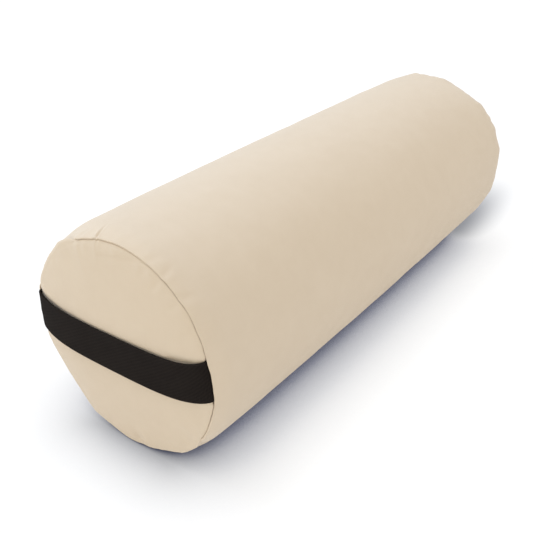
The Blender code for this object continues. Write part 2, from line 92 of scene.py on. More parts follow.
# The sewing gathers the wall up into corners, with flatter cloth between them: each corner's
# angle in degrees, how far in millimetres it stands out, and how flat the cloth is to the next
corners = {
    -1: [(-149, -0.6, 0.3), (-125, -0.7, 0.8), (-103, -2.2, 0.3), (-87, -0.5, 0.5), (-63, 0.8, 0.6),
         (-16, -1.5, 0.2), (15, -0.2, 0.45), (50, -1.0, 0.2), (67, -1.6, 0.2), (84, 0.4, 0.2),
         (103, 2.6, 0.1), (119, 2.3, 0.1), (140, 1.9, 0.1), (151, -0.1, 0), (162, -2.6, 0),
         (176, -1.4, 0), (194, -1.3, 0.2)],
    1: [(-143, 0.9, 0.6), (-120, 0.3, 0.5), (-95, 0.0, 0.4), (-70, 0.0, 0.5), (-45, 0.0, 0.6),
        (-18, 0.0, 0.5), (8, 0.0, 0.5), (33, 0.0, 0.6), (56, -1.8, 1.1), (77, 2.6, 0.85),
        (98, 0.3, 0.85), (130, 0.4, 1.0), (142, 0.0, 0.8), (151, 1.0, 1.3), (167, 0.7, 0.65),
        (198, 0.3, 1.2)],
}

# Puckers where the wall is sewn to an end: angle round the axis, its width, both in degrees,
# depth and length in millimetres, and how far it leans per millimetre of its length, in degrees
puckers = {
    -1: [(69, 1.5, 0.6, 9, 0.2), (97, 2.4, 0.4, 12, 0.1), (112, 1.7, 0.9, 10, 0.05),
         (121, 1.5, 1.1, 11, -0.1), (133, 1.8, 0.9, 12, 0.1), (148, 1.7, 0.8, 11, 0),
         (-96.5, 3.4, 2.0, 17, 0), (-123, 2.0, 0.5, 15, -0.1), (-137, 2.6, 0.4, 14, 0),
         (-150, 2.4, 0.6, 15, 0.1), (42, 3, 0.5, 16, 0), (12, 3, 0.5, 15, 0.1), (-30, 3, 0.5, 16, 0),
         (-50, 3, 0.5, 14, -0.1)],
    1: [(80, 2.2, 0.4, 14, 0), (88, 2.2, 0.7, 17, 0.05), (106, 2.2, 0.5, 15, -0.05),
        (117, 2.2, 0.7, 12, 0), (139, 2.0, 1.0, 15, 0.05), (146, 2.2, 1.3, 15, 0), (160, 2.0, 0.6, 15, 0),
        (-178, 2.6, 0.5, 13, 0), (-160, 2.2, 0.5, 15, 0), (60, 3, 0.8, 15, 0), (33, 3, 0.8, 16, 0.1),
        (-8, 3, 0.7, 15, 0), (-40, 3, 0.8, 14, 0), (-70, 3, 0.6, 14, 0)],
}
tuck = (82, 0.75, 1.9, 12, -0.14)         # a sharper one, in the wall alone, on top of the front seam

sewing = {                     # how the seams draw the cloth, in metres, and degrees round the axis
    "reach": 0.022,            # into the wall, before its corners are lost
    "further": (0.05, -40, 22),               # on the front's lower left: how much, where, how wide
    # a slope in the front's shoulder on the zip's side: how deep, where, how wide, and then
    # how far from the seam its middle is, and how long it is
    "slope": (0.0034, 55, 17, 0.016, 0.011),
    "ripple": 0.0007,          # beside every seam
    "smallRipple": 0.0004,
    "rippleReach": 0.014,
    "onEnd": 0.8,              # share of the wall's creases in the ends' cloth
    "onEndReach": 0.012,
}

# Folds in the front end's cloth, from (y, z) to (y, z) in metres, then half width and depth
panelFolds = [((0.010, 0.2003), (-0.034, 0.2072), 0.0022, 0.0005),
              ((-0.067, 0.1318), (-0.084, 0.1345), 0.0036, 0.0013)]
foldFade = 0.004               # beyond both ends of such a fold


def fadeOut(offset, full, fade):          # 1 within full, down to 0 over fade
    return 0.5 + 0.5 * cos(pi * min(max((offset - full) / fade, 0), 1))


def hill(offset, width):                  # 1 at no offset, and close to 0 beyond twice the width
    return exp(-(offset / width) ** 2)


def apart(angle, other):
    return abs((angle - other + pi) % (2 * pi) - pi)


def zone(angle, middle, half, fade):      # 1 within half of the middle, down to 0 over fade, in degrees
    return fadeOut(apart(angle, radians(middle)), radians(half), radians(fade))


def seamPull(x):
    return max(0.0, 1 - (halfLength - abs(x)) / bolster["drawLength"]) ** 2


def crown(x):
    return bolster["crown"] * (x / halfLength) ** 2


def wallRadius(x):
    return bolster["radius"] - crown(x) - bolster["drawIn"] * seamPull(x)


def crownTaken(x, angle):                 # the zip and the floor take the crown out of the wall
    atZip = fadeOut(apart(angle, zipAngle), radians(9), radians(60))
    return crown(x) * (atZip + zone(angle, -90, 17, 45)) * (1 - seamPull(x))


def gathered(side, angle):                # how far the sewn edge stands outside the even round
    first = radians(corners[side][0][0])
    turned = (angle - first) % (2 * pi) + first
    around = corners[side] + [(corners[side][0][0] + 360, *corners[side][0][1:])]
    for (at, stands, flat), (nextAt, nextStands, _) in zip(around, around[1:]):
        if turned <= radians(nextAt) + 1e-9:
            break
    half = radians(nextAt - at) / 2
    off = turned - radians(at) - half
    chord = bolster["radius"] * (1 - cos(half) / cos(off))
    return 0.001 * (stands + (nextStands - stands) * (0.5 + off / half / 2)) - flat * chord


def crease(fromSeam, angle, at, width, depth, length, lean):     # with the cloth raised beside it
    off = apart(angle, radians(at + lean * 1000 * fromSeam)) / radians(width)
    if off > 4:
        return 0.0
    start = 0.35 + 0.65 * min(1000 * fromSeam / 4, 1)     # shallower in the seam itself
    return -0.001 * depth * hill(1000 * fromSeam, length) * start * (hill(off, 1) - 0.45 * hill(off - 1.7, 1))


def noiseRound(size, angle, along):       # finer round the axis with a larger size
    return noise.noise(Vector((size * cos(angle), size * sin(angle), along)))


def creases(side, fromSeam, angle):       # small folds that the sewing leaves in the cloth
    total = sum(crease(fromSeam, angle, *line) for line in puckers[side])
    spread = hill(fromSeam, sewing["rippleReach"])
    if spread > 0.01:
        total += sewing["ripple"] * spread * noiseRound(6, angle, 3 * side + 40 * fromSeam)
        total += sewing["smallRipple"] * spread ** 2 * noiseRound(17, angle, 5 * side + 30 * fromSeam)
    return total


def foldedIn(y, z):
    total = 0.0
    for (fromY, fromZ), (toY, toZ), half, depth in panelFolds:
        run = hypot(toY - fromY, toZ - fromZ)
        alongY, alongZ = (toY - fromY) / run, (toZ - fromZ) / run
        along = (y - fromY) * alongY + (z - fromZ) * alongZ
        aside = (z - fromZ) * alongY - (y - fromY) * alongZ
        total += depth * hill(aside, half) * hill(max(-along, along - run, 0.0), foldFade)
    return total


def pucker(side, fromSeam, angle):        # how far the sewn edge draws the cloth out or in
    more, at, width = sewing["further"]
    reach = sewing["reach"] + more * hill(apart(angle, radians(at)), radians(width)) * (side < 0)
    total = gathered(side, angle) * hill(fromSeam, reach) + creases(side, fromSeam, angle)
    if side < 0:
        depth, at, width, middle, length = sewing["slope"]
        sloped = hill(fromSeam - middle, length) * hill(apart(angle, radians(at)), radians(width))
        total += crease(fromSeam, angle, *tuck) - depth * sloped
    return total


rollOver = {                   # where the front end swells over its seam and hides it, in degrees
    "middle": -40,
    "half": 98,
    "fade": 11,
    "strap": (2.5, 11.5, 6),   # but not at the strap
    "back": 0.0036,            # it pushes the seam back by this much
    "along": 0.02,             # and the wall too, down to none this far from the seam
    "out": 0.0042,
}


def rolledOver(side, angle):
    if side > 0:
        return 0.0
    hidden = zone(angle, rollOver["middle"], rollOver["half"], rollOver["fade"])
    return hidden * (1 - zone(angle, *rollOver["strap"]))


def lumps(x, angle):
    place = Vector((7 * x, 1.1 * cos(angle), 1.1 * sin(angle)))
    return bolster["unevenness"] * (noise.noise(place * 2) + 0.5 * noise.noise(place * 5.3))


def settled(x, radius, angle):            # a point of the round section, put where it comes to rest
    y = radius * wide * cos(angle)
    z = axisHeight + radius * low * sin(angle)
    blend = bolster["flatBlend"]
    if z < blend:
        z = 0 if z < -blend else (z + blend) ** 2 / (4 * blend)
    return Vector((x, y, z))


def skinPoint(x, angle, lift=0.0):        # on the wall's own skin, or lift above it
    fromSeam = halfLength - abs(x)
    radius = wallRadius(x) + crownTaken(x, angle) + pucker(1 if x > 0 else -1, fromSeam, angle)
    quiet = 1 - fadeOut(apart(angle, zipAngle), radians(7), radians(10))
    return settled(x, radius + quiet * lumps(x, angle) * min(1, fromSeam / 0.02) + lift, angle)


def grid(name, rows, columns, place, inMetres, closed=False, seamShade=None):
    # place(row, column) gives a point, and inMetres(row, column) where it lies on flat cloth
    bm = bmesh.new()
    layer = bm.loops.layers.uv.new("cloth")
    # a layer for how much shade is painted into the cloth at the seams
    shade = bm.verts.layers.float.new("seamShade") if seamShade else None
    bmesh.ops.create_grid(bm, x_segments=len(rows) - 1, y_segments=len(columns) - 1, size=1)

    def at(point):
        row = round((point.x + 1) / 2 * (len(rows) - 1))
        return rows[row], columns[round((point.y + 1) / 2 * (len(columns) - 1))]

    for face in bm.faces:
        for loop in face.loops:
            loop[layer].uv = inMetres(*at(loop.vert.co))
    for point in bm.verts:
        row, column = at(point.co)
        point.co = place(row, column)
        if seamShade:
            point[shade] = seamShade(row, column)
    if closed:
        bmesh.ops.remove_doubles(bm, verts=bm.verts, dist=0.000001)
    bmesh.ops.recalc_face_normals(bm, faces=bm.faces)
    return piece(name, bm)


def linked(name, data):
    made = bpy.data.objects.new(name, data)
    bpy.context.scene.collection.objects.link(made)
    return made


def piece(name, bm):
    mesh = bpy.data.meshes.new(name)
    bm.to_mesh(mesh)
    bm.free()
    mesh.shade_smooth()
    return linked(name, mesh)


def dress(made, finish, slot, *nodes, body="bolster"):
    made.data.materials.clear()
    made.data.materials.append(finish)
    if body:
        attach(made, body)
    if nodes:
        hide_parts(*nodes)
    return made


endName = {-1: "front", 1: "rear"}


# Finishes

def joinedBy(operation):
    return lambda self, other: self.math(operation, other)


class Wire:
    def __init__(self, tree, socket=None):
        self.tree, self.socket = tree, socket

    def node(self, kind, settings=None, sockets=None, output=0):
        made = self.tree.nodes.new("ShaderNode" + kind)
        for name, value in (settings or {}).items():
            if name == "stops":
                ramp = made.color_ramp.elements
                while len(ramp) < len(value):
                    ramp.new(1)
                for stop, (place, shade) in zip(ramp, value):
                    stop.position, stop.color = place, shade
            else:
                setattr(made, name, value)
        for name, value in (sockets or {}).items():
            if isinstance(value, Wire):
                self.tree.links.new(value.socket, made.inputs[name])
            else:
                made.inputs[name].default_value = value
        return Wire(self.tree, made.outputs[output])

    def math(self, operation, *others):
        return self.node("Math", {"operation": operation}, dict(enumerate((self, *others))))

    def mix(self, *ends):                 # self chooses between two colours
        first, second = ((*end, 1) if isinstance(end, tuple) else end for end in ends)
        return self.node("Mix", {"data_type": "RGBA"}, {0: self, 6: first, 7: second}, 2)

    def scaled(self, *sizes):             # self is a vector
        return self.node("VectorMath", {"operation": "MULTIPLY"}, {0: self, 1: sizes})

    def part(self, axis):
        return self.node("SeparateXYZ", None, {0: self}, axis)

    def noise(self, scale, detail=2, roughness=0.5):
        return self.node("TexNoise", None,
                         {"Vector": self, "Scale": scale, "Detail": detail, "Roughness": roughness})

    def bump(self, strength, depth):      # self is a height
        return self.node("Bump", None, {"Strength": strength, "Distance": depth, "Height": self})

    def __rsub__(self, other):
        return self.node("Math", {"operation": "SUBTRACT"}, {0: other, 1: self})

    __add__ = __radd__ = joinedBy("ADD")
    __sub__ = joinedBy("SUBTRACT")
    __mul__ = __rmul__ = joinedBy("MULTIPLY")
    __truediv__ = joinedBy("DIVIDE")
    __pow__ = joinedBy("POWER")


def startFinish(name, colour, onCloth=False, **fixed):
    finish = bpy.data.materials.new(name)
    finish.use_nodes = True
    finish.diffuse_color = (*colour, 1)
    fixed["Base_Color"] = (*colour, 1)
    for socket, value in fixed.items():
        finish.node_tree.nodes["Principled BSDF"].inputs[socket.replace("_", " ")].default_value = value
    wire = Wire(finish.node_tree)
    if onCloth:                           # in metres on the flat cloth
        return finish, wire, wire.node("UVMap", {"uv_map": "cloth"})
    return finish, wire, wire.node("TexCoord", None, None, 3)


def feed(finish, **wires):
    shader = finish.node_tree.nodes["Principled BSDF"]
    for socket, wire in wires.items():
        wire.tree.links.new(wire.socket, shader.inputs[socket.replace("_", " ")])
    return finish


def plainWeave(place, warpPitch, weftPitch):
    # height of a plain weave, and a tone of its own for each yarn
    across = place.part(0) / warpPitch * pi
    along = place.part(1) / weftPitch * pi
    warpArch, weftArch = across.math("SINE").math("ABSOLUTE"), along.math("SINE").math("ABSOLUTE")
    warpOnTop = (across.math("SINE") * along.math("SINE")).math("GREATER_THAN", 0.0)
    height = warpOnTop * warpArch * weftArch ** 0.4 + (1 - warpOnTop) * weftArch * warpArch ** 0.4
    warpTone = place.scaled(1 / warpPitch, 12, 0).noise(1.0, 1)
    weftTone = place.scaled(12, 1 / weftPitch, 0).noise(1.0, 1)
    return height, warpOnTop * warpTone + (1 - warpOnTop) * weftTone


canvasLook = {
    "colour": (0.706, 0.592, 0.455),
    "shade": (0.646, 0.528, 0.392),
    # colour of the shade painted into the cloth at the seams
    "paintedSeamShadow": (0.30, 0.215, 0.145),
    "warp": 0.00052,           # from yarn to yarn
    "weft": 0.00060,
    "depth": 0.00009,
}
caseLook = {
    "colour": (0.82, 0.80, 0.74),
    "shade": (0.74, 0.71, 0.64),
    # colour of the shade painted into the cloth at the seams
    "paintedSeamShadow": (0.5, 0.47, 0.41),
    "warp": 0.0004,
    "weft": 0.00045,
    "depth": 0.00006,
}


def canvasFinish(name, look):
    finish, wire, place = startFinish(name, look["colour"], True, Sheen_Weight=0.25, Sheen_Roughness=0.4,
                                      Sheen_Tint=(1, 0.98, 0.95, 1), Specular_IOR_Level=0.3)
    height, yarnTone = plainWeave(place, look["warp"], look["weft"])
    cloud = place.noise(9, 3, 0.55)                       # uneven dye and handling, a hand across
    mottle = place.noise(55, 4, 0.6)
    nep = place.noise(900, 2)
    # darker in the weave's low places: painted shade between the yarns; cloud, mottle and yarn tone differ at
    # random
    shade = (cloud - 0.5) * 0.5 + (mottle - 0.5) * 0.55 + (yarnTone - 0.5) * 0.35 + (1 - height) * 0.22 + 0.16
    # shade painted into the cloth at the seams, as the mesh's layer gives it
    paintedSeamShadow = wire.node("Attribute", {"attribute_name": "seamShade"}, None, 2)
    relief = height + (yarnTone - 0.5) * 0.7 + (nep - 0.5) * 0.3
    return feed(finish, Base_Color=paintedSeamShadow.mix(shade.mix(look["colour"], look["shade"]), look["paintedSeamShadow"]),
                Roughness=0.84 + 0.1 * mottle, Normal=relief.bump(0.5, look["depth"]))


webbingLook = {
    "colour": (0.0200, 0.0152, 0.0132),
    "shade": (0.0060, 0.0048, 0.0042),
    "worn": (0.032, 0.026, 0.022),
    "pick": 0.00125,           # ribs across the webbing
    "end": 0.00085,            # yarns along it
    "twill": radians(31),      # faint slanting lines
    "twillPitch": 0.00295,
    "depth": 0.00022,
    "edge": 0.01767,           # from its middle to where its edges wear
}


def webbingFinish():
    look = webbingLook
    finish, _, place = startFinish("blackWebbing", look["colour"], True, Sheen_Weight=0.01,
                                   Sheen_Roughness=0.5, Sheen_Tint=(1, 0.9, 0.85, 1), Specular_IOR_Level=0.05)
    height, yarnTone = plainWeave(place, look["pick"], look["end"])
    fuzz = place.scaled(1, 4, 1).noise(700, 3)
    wear = place.noise(30, 4, 0.65)
    atEdge = place.part(1).math("ABSOLUTE").math("GREATER_THAN", look["edge"])
    rubbed = atEdge * 0.15 + (wear - 0.5) * 0.5 + (fuzz - 0.5) * 0.35 + 0.06
    slant = place.part(1) * cos(look["twill"]) - place.part(0) * sin(look["twill"])
    twill = (slant * (2 * pi / look["twillPitch"])).math("SINE") * 0.16
    # the weave's low places take the darker colour, a painted shade between the yarns; the twill is a pattern
    # of the webbing
    cloth = (height + twill).mix(look["shade"], look["colour"])
    relief = height + (yarnTone - 0.5) * 0.4 + (fuzz - 0.5) * 0.35
    return feed(finish, Base_Color=rubbed.node("Clamp", None, {0: rubbed}).mix(cloth, look["worn"]),
                Roughness=0.8 + 0.15 * yarnTone, Normal=relief.bump(0.7, look["depth"]))


def tapeFinish():
    finish, _, place = startFinish("zipTape", (0.60, 0.50, 0.38), True, Roughness=0.8, Sheen_Weight=0.1,
                                   Specular_IOR_Level=0.3)
    height, yarnTone = plainWeave(place, 0.0004, 0.0006)
    # darker in the weave's low places: painted shade between the yarns, with tone that differs from yarn to
    # yarn
    tone = (1 - height) * 0.35 + (yarnTone - 0.5) * 0.5 + 0.2
    return feed(finish, Base_Color=tone.mix((0.62, 0.52, 0.395), (0.50, 0.41, 0.30)),
                Normal=height.bump(0.5, 0.00012))


def nylonFinish():
    finish, _, place = startFinish("coilNylon", (0.60, 0.49, 0.36), Specular_IOR_Level=0.5)
    drawn = place.scaled(1, 6, 6).noise(800, 2)
    return feed(finish, Base_Color=drawn.mix((0.56, 0.45, 0.33), (0.64, 0.53, 0.40)),
                Roughness=0.3 + 0.18 * drawn)


def metalFinish():
    finish, _, place = startFinish("nickelledMetal", (0.60, 0.57, 0.52), Metallic=1.0)
    tumble = place.noise(2200, 3, 0.6)
    stain = place.noise(260, 3, 0.55)
    return feed(finish, Base_Color=stain.mix((0.52, 0.49, 0.44), (0.66, 0.63, 0.58)),
                Roughness=0.2 + 0.16 * tumble + 0.14 * stain, Normal=tumble.bump(0.15, 0.00003))


def threadFinish():
    finish, _, place = startFinish("sewingThread", (0.72, 0.62, 0.49), Sheen_Weight=0.2)
    ply = place.noise(2600, 2)
    return feed(finish, Base_Color=ply.mix((0.60, 0.50, 0.38), (0.78, 0.68, 0.55)),
                Roughness=0.62 + 0.15 * ply)


def battingFinish():
    finish, _, place = startFinish("cottonBatting", (0.86, 0.84, 0.80), Sheen_Weight=0.4)
    fibre = place.scaled(1, 3, 3).noise(140, 6, 0.7)
    tone = fibre * 0.6 + place.noise(60, 2) * 0.4
    return feed(finish, Base_Color=tone.mix((0.78, 0.75, 0.69), (0.90, 0.88, 0.84)),
                Roughness=0.88 + 0.12 * fibre, Normal=fibre.bump(0.8, 0.0008))


canvas = canvasFinish("naturalCanvas", canvasLook)
caseCotton = canvasFinish("caseCotton", caseLook)
webbing = webbingFinish()
tapeCloth = tapeFinish()
coilNylon = nylonFinish()
metal = metalFinish()
thread = threadFinish()
batting = battingFinish()
print("finishes made")


# Cover

def spaced(first, last, step):
    count = max(1, round(abs(last - first) / step))
    return [first + (last - first) * i / count for i in range(count)]


def runs(*stops):                         # from stop to stop, each with the step to the next one
    pairs = zip(stops, stops[1:])
    return [value for (first, step), (last, _) in pairs for value in spaced(first, last, step)]


def aroundAngles():                       # closer together beside the zip's slot and at the front's tuck
    slot = asin(bolster["slotHalfWidth"] / bolster["radius"])
    near, step, fine = slot + radians(3.3), 2 * pi / bolster["aroundSteps"], radians(0.3)
    tuckStart = radians(tuck[0] - 4) - zipAngle
    last = 2 * pi - near
    offsets = runs((-near, fine), (-slot, radians(0.9)), (slot, fine), (near, step),
                   (tuckStart, radians(0.25)), (tuckStart + radians(7), step), (last, 0))
    return [zipAngle + offset for offset in offsets + [last]]


def foldDown(clear):                      # height lost by cloth this far from the slot's edge
    fold = bolster["slotFold"]
    lost = topstitch["sink"] * hill(clear - topstitch["inset"], 0.0008)
    return lost if clear > fold else lost + fold - sqrt(max(0.0, fold ** 2 - (fold - clear) ** 2))


paintedSeamLook = {                   # how dark the shade painted into the cloth at the seams is
    "dark": 0.82,
    "unevenness": 0.75,
    "least": 0.3,
    "faint": [(91, 16, 18), (-105, 50, 14)],    # zones of the front one, in degrees
    "faintBy": 0.85,
}


# how dark the painted shade in a seam is at this angle: uneven along it, fainter in some zones of the front
# one
def seamPaintedDarkness(side, angle):
    dark = paintedSeamLook["dark"] + paintedSeamLook["unevenness"] * noiseRound(14, angle, 7 * side)
    dark = min(max(dark, paintedSeamLook["least"]), 1.0)
    faint = sum(zone(angle, *where) for where in paintedSeamLook["faint"]) if side < 0 else 0
    return dark * (1 - paintedSeamLook["faintBy"] * faint)


turnedUnder = [("under", 0.0015), ("under", bolster["turnUnder"])]


def coverTube():
    fold, slotEnd = bolster["fold"], bolster["slotHalfLength"]
    stations = runs((0, 0.005), (slotEnd - 0.003, 0.0005), (slotEnd + 0.006, 0.003),
                    (halfLength - 0.03, 0.0016), (halfLength - 0.004, 0.0008), (halfLength - fold, 0))
    half = [("wall", x) for x in stations] + [("fold", turn * pi / 6) for turn in range(7)] + turnedUnder
    rows = [(-1, *row) for row in reversed(half[1:])] + [(1, *row) for row in half]
    centre = wallRadius(halfLength - fold) - fold

    def place(row, angle):
        side, kind, value = row
        back = rollOver["back"] * rolledOver(side, angle)
        if kind == "wall":
            clearAround = apart(angle, zipAngle) * bolster["radius"] - bolster["slotHalfWidth"]
            clear = max(0.0, abs(value) - slotEnd, clearAround)
            point = skinPoint(side * value, angle, -foldDown(clear))
            point.x -= side * back * fadeOut(halfLength - value, 0, rollOver["along"])
            return point
        if kind == "fold":
            x, radius = halfLength - fold + fold * sin(value), centre + fold * cos(value)
        else:
            x, radius = halfLength - value, centre - fold
        return settled(side * (x - back), radius + pucker(side, 0.0, angle), angle)

    def inMetres(row, angle):
        side, kind, value = row
        along = value if kind == "wall" else halfLength + (fold * value if kind == "fold" else 0.002 + value)
        return angle * bolster["radius"], side * along

    # painted shade: none on the wall, more deeper into the fold, full on the cloth turned under
    def seamShade(row, angle):
        side, kind, value = row
        deep = {"wall": 0.0, "fold": fadeOut(pi - value, 0, 2.0), "under": 1.0}[kind]
        return deep * seamPaintedDarkness(side, angle)

    return grid("coverTube", rows, aroundAngles(), place, inMetres, True, seamShade)


def openSlot(tube):                       # the zip's slot, with its edges turned under
    bm = bmesh.new()
    bm.from_mesh(tube.data)
    halfSlot, halfWidth, hem = bolster["slotHalfLength"], bolster["slotHalfWidth"], bolster["slotHem"]
    slotAngle = asin(halfWidth / bolster["radius"])
    toZip = Vector((cos(zipAngle), sin(zipAngle)))
    inSlot = []
    for face in bm.faces:
        middle = face.calc_center_median()
        if abs(middle.x) < halfSlot:
            if Vector((middle.y / wide, (middle.z - axisHeight) / low)).angle(toZip) < slotAngle:
                inSlot.append(face)
    bmesh.ops.delete(bm, geom=inSlot, context="FACES")
    rim = [edge for edge in bm.edges if edge.is_boundary and abs(edge.verts[0].co.x) < halfLength - 0.02]
    grown = bmesh.ops.extrude_edge_only(bm, edges=rim)["geom"]
    for point in (item for item in grown if isinstance(item, bmesh.types.BMVert)):
        local = zipPlace.inverted() @ point.co
        local.z -= 0.0002
        if abs(local.x) > halfSlot - 0.001:
            local.x += copysign(hem, local.x)
        if abs(local.y) > halfWidth - 0.001:
            local.y += copysign(hem, local.y)
            local.z -= 0.0003
        point.co = zipPlace @ local
    bmesh.ops.recalc_face_normals(bm, faces=bm.faces)
    bm.to_mesh(tube.data)
    bm.free()


def zipAxes():                            # X along the zip, Z out of the wall
    above, middle, below = (settled(0, bolster["radius"], zipAngle + turn * facet) for turn in (1, 0, -1))
    down = (below - above).normalized()
    out = Vector((1, 0, 0)).cross(down)
    turn = Matrix(((1, 0, 0), (0, down.y, out.y), (0, down.z, out.z)))
    return Matrix.Translation(middle) @ turn.to_4x4()


zipPlace = zipAxes()


# Carrying straps

strap = {
    "width": 0.038,
    "thickness": 0.0018,
    "stand": 0.0095,           # the middle stands off the seam's plane by this
    "tilt": 0.0010,            # and its lower edge by this much more
    "bow": 2.8,                # how squarely it rises out of the seam
    "riseLeft": 0.0045,        # heights of its ends over the axis
    "riseRight": 0.0119,
    "lean": 0.0024,            # down towards +Y, up towards -Y
    "turnUp": 5,               # how late its ends turn up to the seam
    "bulge": 0.014,            # share it swings further out beside the front's left seam
    "bulgeEnd": 0.55,          # over this much of its rise, in radians
    "cup": 0.0004,             # its middle stands out of its edges
    "tail": 0.006,             # inside the seam
    "heldFrom": 0.103,         # the seam holds it beyond this far from the middle
    "alongStep": 0.0012,
    "acrossSteps": 26,
}
seamLip = wallRadius(halfLength - bolster["fold"]) - 2 * bolster["fold"]
strapSeam = seamLip - 0.0001 - strap["thickness"] / 2
strapHalfAngle = asin(strap["width"] / 2 / strapSeam)
strapAngles = (asin(strap["riseLeft"] / strapSeam), pi - asin(strap["riseRight"] / strapSeam))


def strapPoint(side, along, across):
    edge = across * strap["width"] / 2
    sign, endRise = (1, strap["riseLeft"]) if along < 0 else (-1, strap["riseRight"])

    def end(height):
        up = (height - axisHeight) / low
        seam = strapSeam + pucker(side, 0.0, atan2(up, sign * strapSeam))
        return sign * wide * sqrt(seam ** 2 - up ** 2)

    if abs(along) > 1:
        height = axisHeight + endRise + edge
        return Vector((-strap["tail"] * (abs(along) - 1), end(height), height))
    swing = (1 - abs(along)) * pi / 2
    reach = cos(swing) ** (2 / strap["bow"])
    if side < 0 and along < 0:
        reach *= 1 + strap["bulge"] * sin(pi * min(swing / strap["bulgeEnd"], 1))
    rise = -sign * strap["lean"] * reach
    height = axisHeight + rise + (endRise - rise) * reach ** strap["turnUp"] + edge
    stand = strap["stand"] - across * strap["tilt"] / 2
    return Vector((stand * sin(swing), reach * end(height), height))


def strapRun(side):                       # even steps along the webbing, as (along, distance)
    fine = [-2, -1.5] + [(i / 600) ** 3 for i in range(-600, 601)] + [1.5, 2]
    points = [strapPoint(side, along, 0) for along in fine]
    run = [0.0]
    for one, other in zip(points, points[1:]):
        run.append(run[-1] + (other - one).length)
    count = round(run[-1] / strap["alongStep"])
    rows = []
    for i in range(count + 1):
        want = run[-1] * i / count
        at = min(max(bisect_left(run, want), 1), len(run) - 1)
        share = (want - run[at - 1]) / (run[at] - run[at - 1])
        rows.append((fine[at - 1] + share * (fine[at] - fine[at - 1]), want))
    return rows


def strapSection():                       # round the webbing, as (across, lift), closed
    edge, half, steps = strap["thickness"] / strap["width"], strap["thickness"] / 2, strap["acrossSteps"]
    face = [(edge - 1) + (2 - 2 * edge) * i / steps for i in range(steps + 1)]
    turn = [pi / 2 - pi * i / 6 for i in range(1, 6)]
    top = [(across, half) for across in face]
    top += [(1 - edge + edge * cos(angle), half * sin(angle)) for angle in turn]
    return top + [(-across, -lift) for across, lift in top] + top[:1]


def carryStrap(side, first):
    # the half that is sewn in at +Y, or the other one
    rows = strapRun(side)
    middle = min(range(len(rows)), key=lambda i: abs(strapPoint(side, rows[i][0], 0).y))
    rows = rows[:middle + 1] if first else rows[middle:]
    section = strapSection()

    def place(row, column):
        along, (across, lift) = row[0], section[column]
        before, after = (strapPoint(side, min(max(along + step, -2), 2), across) for step in (-0.002, 0.002))
        over = strapPoint(side, along, across + 0.01) - strapPoint(side, along, across - 0.01)
        normal = (after - before).cross(over).normalized()
        here = strapPoint(side, along, across) + normal * (lift + strap["cup"] * (1 - across ** 2))
        return Vector((side * (halfLength + here.x), here.y, here.z))

    def inMetres(row, column):
        return row[1], section[column][0] * strap["width"] / 2

    end = endName[side]
    name = end + "CarryStrap" + ("Left" if first else "Right")
    made = grid(name, rows, range(len(section)), place, inMetres, closed=True)
    dress(made, webbing, "webbing", f"{end}_carry_strap", body=None)
    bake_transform(made)


# Round ends

def swell(side, radius, angle, share, fromRim, shoulder):
    # how far an end stands out of its seam's plane, this far from its middle and from its rim
    out = (bolster["dome"] - shoulder) * (1 - share ** bolster["domePower"])
    out += shoulder * (1 - exp(-fromRim / bolster["shoulderLength"]))
    near = hill(fromRim, sewing["onEndReach"]) * min(1, fromRim / 0.003)
    out += sewing["onEnd"] * creases(side, 0.003, angle) * near
    if side < 0:
        out -= foldedIn(radius * wide * cos(angle), axisHeight + radius * low * sin(angle))
    return out + bolster["endUnevenness"] * noiseRound(21.6 * radius, angle, 12 * side) * (1 - share ** 6)


def endPanel(side):
    fold = bolster["fold"]
    lip = seamLip - 0.0001
    face = lip - fold
    rows = [("dome", radius) for radius in runs((0, 0.0032), (face - 0.012, 0.0009), (face, 0)) + [face]]
    rows += [("fold", turn * pi / 10) for turn in range(1, 11)] + turnedUnder
    dip = strap["thickness"] + 0.0001     # the webbing's ends press this far in

    def place(row, angle):
        kind, value = row
        atStrap = max(fadeOut(apart(angle, end), strapHalfAngle + 0.002, radians(2.4)) for end in strapAngles)
        gather = pucker(side, 0.0, angle)
        rolled = rolledOver(side, angle)
        if kind == "dome":
            share, fromRim = value / face, face - value
            shoulder = bolster["shoulder"] * (1 - 0.55 * atStrap) * (1 - rolled)
            out = swell(side, value, angle, share, fromRim, shoulder)
            radius = value - dip * atStrap * hill(fromRim, 0.01) + gather * share ** 4
            return settled(side * (halfLength + out), radius, angle)
        turn = fold + (rollOver["back"] - fold) / 2 * rolled
        back = (rollOver["back"] + fold - turn) * rolled
        x, radius = halfLength - turn, lip
        if kind == "under":
            x -= value - 0.0009 + back    # so that it stays clear of the fold's own rows
        elif value < pi / 2 + 0.001:
            x = halfLength - turn * (1 - cos(value))
            radius = face + (fold + rollOver["out"] * rolled) * sin(value)
        else:                             # back in to the seam, where the end rolls over it
            x -= back * (1 - sin(value))
            radius += rollOver["out"] * rolled * sin(value) ** 2.2
            x -= 0.0003 * (value / (pi / 2) - 1) * (1 - rolled)
        return settled(side * x, radius + gather - dip * atStrap, angle)

    def inMetres(row, angle):
        kind, value = row
        radius = value if kind == "dome" else lip + (value * fold if kind == "fold" else value)
        return radius * cos(angle), radius * sin(angle)

    # painted shade: none on the dome, more deeper into the fold, full on the cloth turned under
    def seamShade(row, angle):
        kind, value = row
        inFold = fadeOut(pi / 2 * (1 + rolledOver(side, angle)) - value, 0, 1.2)
        return {"dome": 0.0, "fold": inFold, "under": 1.0}[kind] * seamPaintedDarkness(side, angle)

    made = grid(endName[side] + "EndPanel", rows, aroundAngles(), place, inMetres, True, seamShade)
    return dress(made, canvas, "canvas", endName[side] + "_end_panel")


tube = coverTube()
openSlot(tube)
dress(tube, canvas, "canvas", "cover_tube")
for side in (-1, 1):
    endPanel(side)
    carryStrap(side, True)
    carryStrap(side, False)
print("cover and straps made")


# Sewing and small bars

